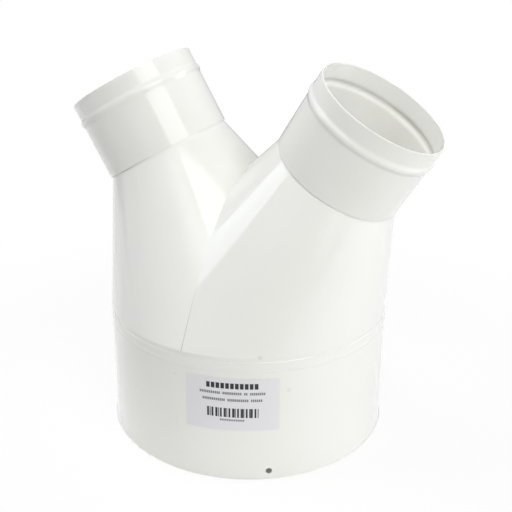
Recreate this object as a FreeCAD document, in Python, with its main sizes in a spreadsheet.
"""Duct Y branch of painted sheet steel: one wide collar that parts into two beaded spigots.

Lengths are millimetres and angles are degrees. +Z is up, the collar stands on z = 0 with its
axis on Z, and the two branches lean apart in the XZ plane, towards +X and -X.
"""
import FreeCAD, Part
import math
import os

import Sketcher
from FreeCAD import Placement, Rotation, Vector

# Driving dimensions: name, value, what it measures
DIMENSIONS = [
    ("sheet_gauge", 1.0, "thickness of the steel sheet in every piece"),
    ("lap_gap", 0.1, "radial clearance between two lapped pieces"),
    ("collar_bore", 202.0, "inner diameter of the collar, which takes the main pipe"),
    ("collar_height", 90.0, "height of the collar's top edge"),
    ("rib_setback", 5.7, "distance of the crest of the collar's slight rib below its top edge"),
    ("rib_height", 0.25, "how far the rib stands out from the collar"),
    ("rib_radius", 2.4, "bend radius of the rib's crest and flanks, outside"),
    ("skirt_lap", 5.0, "length of the legs' drawn-in skirt inside the collar"),
    ("joggle_rise", 3.6, "height over which the legs widen above the collar, from skirt to foot"),
    ("foot_height", 0.6, "straight stretch of the legs' foot, flush with the collar"),
    ("hole_bore", 4.6, "diameter of the fixing hole in the collar"),
    ("hole_height", 6.0, "height of the fixing hole's centre"),
    ("hole_bearing", 34.0, "plan angle of the fixing hole from -Y towards +X"),
    ("branch_tilt", 31.0, "lean of each branch from the vertical"),
    ("neck_offset", 67.0, "distance of each spigot's foot from the collar's axis"),
    ("neck_rise", 107.0, "height of each spigot's foot above the collar's top edge"),
    ("neck_lap", 12.0, "length of the leg's neck inside its spigot"),
    ("spigot_outer", 94.0, "outer diameter of the spigots, which go into the hoses"),
    ("spigot_length", 57.5, "length of the spigots, foot to mouth"),
    ("bead_setback", 15.0, "distance of the bead's crest from the mouth"),
    ("bead_height", 1.1, "how far the bead stands out from the spigot"),
    ("bead_radius", 4.3, "bend radius of the bead's crest and flanks, outside"),
]

# Sizes that follow from the driving dimensions, as expressions
COLLAR_INNER = "(Dimensions.collar_bore / 2)"
COLLAR_OUTER = "(Dimensions.collar_bore / 2 + Dimensions.sheet_gauge)"
SKIRT_OUTER = "(Dimensions.collar_bore / 2 - Dimensions.lap_gap)"
SKIRT_FOOT = "(Dimensions.collar_height - Dimensions.skirt_lap)"
JOGGLE_TOP = "(Dimensions.collar_height + Dimensions.joggle_rise)"
LEG_FOOT = f"({JOGGLE_TOP} + Dimensions.foot_height)"
SPIGOT_OUTER = "(Dimensions.spigot_outer / 2)"
NECK_OUTER = "(Dimensions.spigot_outer / 2 - Dimensions.sheet_gauge - Dimensions.lap_gap)"
NECK_HEIGHT = "(Dimensions.collar_height + Dimensions.neck_rise)"

# Places on sketch geometry, as the sketcher numbers them
START, END, CENTRE = 1, 2, 3
ORIGIN = (-1, 1)
HORIZONTAL_AXIS = -1

SIDES = {"right": 1, "left": -1}


def write_dimensions(doc):
    """Put the driving dimensions in a spreadsheet, one named cell each."""
    table = doc.addObject("Spreadsheet::Sheet", "Dimensions")
    for row, (name, value, meaning) in enumerate(DIMENSIONS, start=1):
        table.set(f"A{row}", name)
        table.set(f"B{row}", str(value))
        table.setAlias(f"B{row}", name)
        table.set(f"C{row}", meaning)
    doc.recompute()


def add_body(doc, label):
    """Start a sub-part under its own label."""
    body = doc.addObject("PartDesign::Body", label)
    body.Label = label
    return body


def add_sketch(body, name, role):
    """Start a sketch on one of the body's own origin planes."""
    sketch = body.newObject("Sketcher::SketchObject", name)
    plane = next(item for item in body.Origin.OriginFeatures if item.Role == role)
    sketch.AttachmentSupport = [(plane, "")]
    sketch.MapMode = "FlatFace"
    return sketch


def evaluate(sketch, expression):
    """The plain number that an expression gives."""
    value = sketch.evalExpression(expression)
    return getattr(value, "Value", value)


def bind(sketch, expression, *constraint):
    """Add a dimension to a sketch and drive it by an expression."""
    value = evaluate(sketch, expression)
    index = sketch.addConstraint(Sketcher.Constraint(*constraint, value))
    sketch.setExpression(f"Constraints[{index}]", expression)


def add_line(sketch, start, end):
    """Add a straight stretch and return its number."""
    return sketch.addGeometry(Part.LineSegment(Vector(*start, 0), Vector(*end, 0)))


def add_bend(sketch, centre, radius, first, last):
    """Add an arc, counter-clockwise between two angles, and return its number."""
    circle = Part.Circle(Vector(*centre, 0), Vector(0, 0, 1), radius)
    return sketch.addGeometry(Part.ArcOfCircle(circle, math.radians(first), math.radians(last)))


def join_smoothly(sketch, chain):
    """Make each stretch of a chain tangent to the next, where one ends and the next begins.

    The chain lists each stretch with the ends at which it is entered and left.
    """
    for (one, _, leave), (other, enter, _) in zip(chain, chain[1:]):
        sketch.addConstraint(Sketcher.Constraint("Tangent", one, leave, other, enter))


def close_wall(sketch, outer, inner):
    """Join the outer and inner faces of a wall at its foot and at its top."""
    for pick, face_end in ((0, START), (-1, END)):
        ends = [(face[pick][0], face_end) for face in (inner, outer)]
        edge = add_line(sketch, *(sketch.getPoint(*end)[:2] for end in ends))
        for edge_end, end in zip((START, END), ends):
            sketch.addConstraint(Sketcher.Constraint("Coincident", edge, edge_end, *end))
        sketch.addConstraint(Sketcher.Constraint("Horizontal", edge))


def revolve(body, name, sketch):
    """Turn a wall section about the body's Z axis."""
    wall = body.newObject("PartDesign::Revolution", name)
    wall.Profile = sketch
    wall.ReferenceAxis = (sketch, ["V_Axis"])
    wall.Angle = 360
    return wall


def add_circle(sketch, radius, height=None):
    """Draw a circle on the sketch's vertical axis, at its origin unless a height is given."""
    ring = sketch.addGeometry(Part.Circle(Vector(0, 1, 0), Vector(0, 0, 1), 1))
    if height is None:
        sketch.addConstraint(Sketcher.Constraint("Coincident", ring, CENTRE, *ORIGIN))
    else:
        sketch.addConstraint(Sketcher.Constraint("Vertical", ring, CENTRE, *ORIGIN))
        bind(sketch, height, "DistanceY", *ORIGIN, ring, CENTRE)
    bind(sketch, radius, "Radius", ring)


def add_beaded_wall(body, name, radius, length, bead):
    """Turn a straight wall of sheet with one bead rolled outwards near its end.

    The radius is that of its outer face, and the bead's word starts the names of its dimensions.
    """
    section = add_sketch(body, f"{name}_section", "XZ_Plane")
    gauge = evaluate(section, "Dimensions.sheet_gauge")
    barrel_radius = evaluate(section, radius)
    end = evaluate(section, length)
    setback = f"Dimensions.{bead}_setback"
    height = f"Dimensions.{bead}_height"
    bend_radius = f"Dimensions.{bead}_radius"
    rise_height = evaluate(section, height)
    bend = evaluate(section, bend_radius)
    crest = end - evaluate(section, setback)
    swing = math.degrees(math.acos(1 - rise_height / (2 * bend)))
    half_width = 2 * bend * math.sin(math.radians(swing))
    crest_centre = barrel_radius + rise_height - bend
    flank_centre = barrel_radius + bend

    def face(face_radius, flank_bend, crest_bend):
        """One face of the wall, upwards: barrel, flank, crest, flank, mouth."""
        low, high = crest - half_width, crest + half_width
        barrel = add_line(section, (face_radius, 0), (face_radius, low))
        rise = add_bend(section, (flank_centre, low), flank_bend, 180 - swing, 180)
        top = add_bend(section, (crest_centre, crest), crest_bend, -swing, swing)
        fall = add_bend(section, (flank_centre, high), flank_bend, 180, 180 + swing)
        mouth = add_line(section, (face_radius, high), (face_radius, end))
        chain = [(barrel, START, END), (rise, END, START), (top, START, END),
                 (fall, END, START), (mouth, START, END)]
        join_smoothly(section, chain)
        for upright_line in (barrel, mouth):
            section.addConstraint(Sketcher.Constraint("Vertical", upright_line))
        return chain

    outer = face(barrel_radius, bend, bend)
    inner = face(barrel_radius - gauge, bend + gauge, bend - gauge)
    close_wall(section, outer, inner)
    section.addConstraint(
        Sketcher.Constraint("PointOnObject", outer[0][0], START, HORIZONTAL_AXIS))
    for chain, face_radius in ((outer, radius), (inner, f"{radius} - Dimensions.sheet_gauge")):
        for stretch, stretch_end in ((chain[0], START), (chain[-1], END)):
            bind(section, face_radius, "DistanceX", *ORIGIN, stretch[0], stretch_end)
    bind(section, length, "DistanceY", *ORIGIN, outer[-1][0], END)
    bind(section, f"{length} - {setback}", "DistanceY", *ORIGIN, outer[2][0], CENTRE)
    bind(section, f"{radius} + {height} - {bend_radius}", "DistanceX", *ORIGIN, outer[2][0], CENTRE)
    bind(section, bend_radius, "Radius", outer[2][0])
    for flank in (1, 3):
        section.addConstraint(Sketcher.Constraint("Equal", outer[flank][0], outer[2][0]))
    for bent in (1, 2):
        section.addConstraint(
            Sketcher.Constraint("Coincident", inner[bent][0], CENTRE, outer[bent][0], CENTRE))
    section.addConstraint(Sketcher.Constraint("Equal", inner[3][0], inner[1][0]))
    revolve(body, name, section)


def build_collar(doc):
    """The rolled collar: a barrel with a slight rib round its top and one fixing hole."""
    body = add_body(doc, "base_collar")
    add_beaded_wall(body, "collar_wall", COLLAR_OUTER, "Dimensions.collar_height", "rib")
    doc.recompute()

    hole = add_sketch(body, "hole_outline", "XZ_Plane")
    hole.AttachmentOffset = Placement(Vector(), Rotation(Vector(0, 1, 0), 1))
    hole.setExpression("AttachmentOffset.Rotation.Angle", "Dimensions.hole_bearing")
    add_circle(hole, "Dimensions.hole_bore / 2", "Dimensions.hole_height")
    doc.recompute()
    drill = body.newObject("PartDesign::Pocket", "fixing_hole")
    drill.Profile = hole
    drill.Type = "ThroughAll"
    drill.Reversed = True
    return body


def ring_at_base(body, name, radius):
    """A circle just above the collar, where the legs begin to narrow."""
    ring = add_sketch(body, name, "XY_Plane")
    ring.setExpression("AttachmentOffset.Base.z", LEG_FOOT)
    add_circle(ring, radius)
    return ring


def ring_at_neck(body, name, radius, side):
    """A circle square to the branch at the spigot's foot."""
    ring = add_sketch(body, name, "XY_Plane")
    ring.AttachmentOffset = Placement(Vector(), Rotation(Vector(0, side, 0), 1))
    ring.setExpression("AttachmentOffset.Rotation.Angle", "Dimensions.branch_tilt")
    ring.setExpression("AttachmentOffset.Base.x", f"{side} * Dimensions.neck_offset")
    ring.setExpression("AttachmentOffset.Base.z", NECK_HEIGHT)
    add_circle(ring, radius)
    return ring


def loft(body, kind, name, low, high):
    """Span two rings with straight rulings, as rolled sheet does."""
    flank = body.newObject(kind, name)
    flank.Profile = low
    flank.Sections = [high]
    flank.Ruled = True
    return flank


def add_joggled_wall(body, name, radii, heights):
    """Turn a wall of sheet that widens by an S bend between two straight stretches.

    The radii are those of its outer face below and above the bend. The heights are those of its
    foot, of the bend's two ends and of its top.
    """
    section = add_sketch(body, f"{name}_section", "XZ_Plane")
    gauge = evaluate(section, "Dimensions.sheet_gauge")
    low, high = (evaluate(section, radius) for radius in radii)
    foot, bend_foot, bend_top, top = (evaluate(section, height) for height in heights)
    step = high - low
    reach = ((bend_top - bend_foot) ** 2 + step ** 2) / (2 * step)
    swing = math.degrees(math.asin((bend_top - bend_foot) / reach))
    tight = (reach - gauge) / 2

    def face(radius, low_bend, high_bend):
        """One face of the wall, upwards: straight stretch, outward bend, upright bend, stretch."""
        below = add_line(section, (radius, foot), (radius, bend_foot))
        outward = add_bend(section, (radius + low_bend, bend_foot), low_bend, 180 - swing, 180)
        upright = add_bend(section, (radius + step - high_bend, bend_top), high_bend, -swing, 0)
        above = add_line(section, (radius + step, bend_top), (radius + step, top))
        chain = [(below, START, END), (outward, END, START), (upright, START, END),
                 (above, START, END)]
        join_smoothly(section, chain)
        for upright_line in (below, above):
            section.addConstraint(Sketcher.Constraint("Vertical", upright_line))
        return chain

    outer = face(low, tight, tight + gauge)
    inner = face(low - gauge, tight + gauge, tight)
    close_wall(section, outer, inner)
    bind(section, radii[0], "DistanceX", *ORIGIN, outer[0][0], START)
    bind(section, f"{radii[0]} - Dimensions.sheet_gauge", "DistanceX", *ORIGIN, inner[0][0], START)
    bind(section, radii[1], "DistanceX", *ORIGIN, outer[3][0], END)
    bind(section, heights[0], "DistanceY", *ORIGIN, outer[0][0], START)
    for height, stretch in zip(heights[1:], (0, 2, 3)):
        bind(section, height, "DistanceY", *ORIGIN, outer[stretch][0], END)
    for bent in (1, 2):
        section.addConstraint(
            Sketcher.Constraint("Coincident", inner[bent][0], CENTRE, outer[bent][0], CENTRE))
    section.addConstraint(Sketcher.Constraint("Equal", inner[2][0], outer[1][0]))
    revolve(body, name, section)


def build_leg(doc, name, side):
    """One trouser leg: a slanting cone with a foot and a neck, cut off where the two legs meet."""
    body = add_body(doc, f"{name}_leg")
    base = ring_at_base(body, f"{name}_base", COLLAR_OUTER)
    neck = ring_at_neck(body, f"{name}_neck", NECK_OUTER, side)
    doc.recompute()
    loft(body, "PartDesign::AdditiveLoft", f"{name}_flank", base, neck)
    neck_end = body.newObject("PartDesign::Pad", f"{name}_neck_end")
    neck_end.Profile = neck
    neck_end.setExpression("Length", "Dimensions.neck_lap")
    doc.recompute()

    base_bore = ring_at_base(body, f"{name}_base_bore", COLLAR_INNER)
    neck_bore = ring_at_neck(body, f"{name}_neck_bore", f"{NECK_OUTER} - Dimensions.sheet_gauge", side)
    doc.recompute()
    loft(body, "PartDesign::SubtractiveLoft", f"{name}_hollow", base_bore, neck_bore)
    opening = body.newObject("PartDesign::Pocket", f"{name}_neck_opening")
    opening.Profile = neck_bore
    opening.Type = "ThroughAll"
    opening.Reversed = True
    doc.recompute()
    add_joggled_wall(body, f"{name}_foot", (SKIRT_OUTER, COLLAR_OUTER),
                     (SKIRT_FOOT, "Dimensions.collar_height", JOGGLE_TOP, LEG_FOOT))
    doc.recompute()

    mitre = add_sketch(body, f"{name}_mitre_outline", "YZ_Plane")
    add_circle(mitre, f"{COLLAR_OUTER} + {NECK_HEIGHT} + Dimensions.spigot_length")
    cut = body.newObject("PartDesign::Pocket", f"{name}_mitre")
    cut.Profile = mitre
    cut.Type = "ThroughAll"
    cut.Reversed = side < 0
    return body


def build_spigot(doc, name, side):
    """A rolled spigot with an outward bead near its mouth, lapped over the leg's neck."""
    body = add_body(doc, f"{name}_spigot")
    add_beaded_wall(body, f"{name}_spigot_wall", SPIGOT_OUTER, "Dimensions.spigot_length", "bead")
    body.Placement = Placement(Vector(), Rotation(Vector(0, side, 0), 1))
    body.setExpression("Placement.Rotation.Angle", "Dimensions.branch_tilt")
    body.setExpression("Placement.Base.x", f"{side} * Dimensions.neck_offset")
    body.setExpression("Placement.Base.z", NECK_HEIGHT)
    return body


def write_parts(doc, bodies):
    """Check every object and every shape, then write each sub-part to its own file."""
    failed = [item.Name for item in doc.Objects
              if "Invalid" in item.State or "Error" in item.State]
    if failed:
        raise RuntimeError(f"objects that failed: {failed}")
    for body in bodies:
        shape = body.Shape
        if shape.isNull() or not shape.isValid() or len(shape.Solids) != 1:
            raise RuntimeError(f"bad shape: {body.Label}")
        box = shape.optimalBoundingBox()
        print(f"{body.Label}: {shape.Volume:.1f} mm3, x {box.XMin:.2f} to {box.XMax:.2f}, "
              f"y {box.YMin:.2f} to {box.YMax:.2f}, z {box.ZMin:.2f} to {box.ZMax:.2f}")
    os.makedirs("parts", exist_ok=True)
    for body in bodies:
        body.Shape.exportStep(os.path.join("parts", f"{body.Label}.step"))


def main():
    """Build the collar, then each branch's leg and spigot."""
    doc = FreeCAD.newDocument("duct_y_branch")
    write_dimensions(doc)
    bodies = [build_collar(doc)]
    for name, side in SIDES.items():
        bodies.append(build_leg(doc, name, side))
        bodies.append(build_spigot(doc, name, side))
    doc.recompute()
    write_parts(doc, bodies)


main()
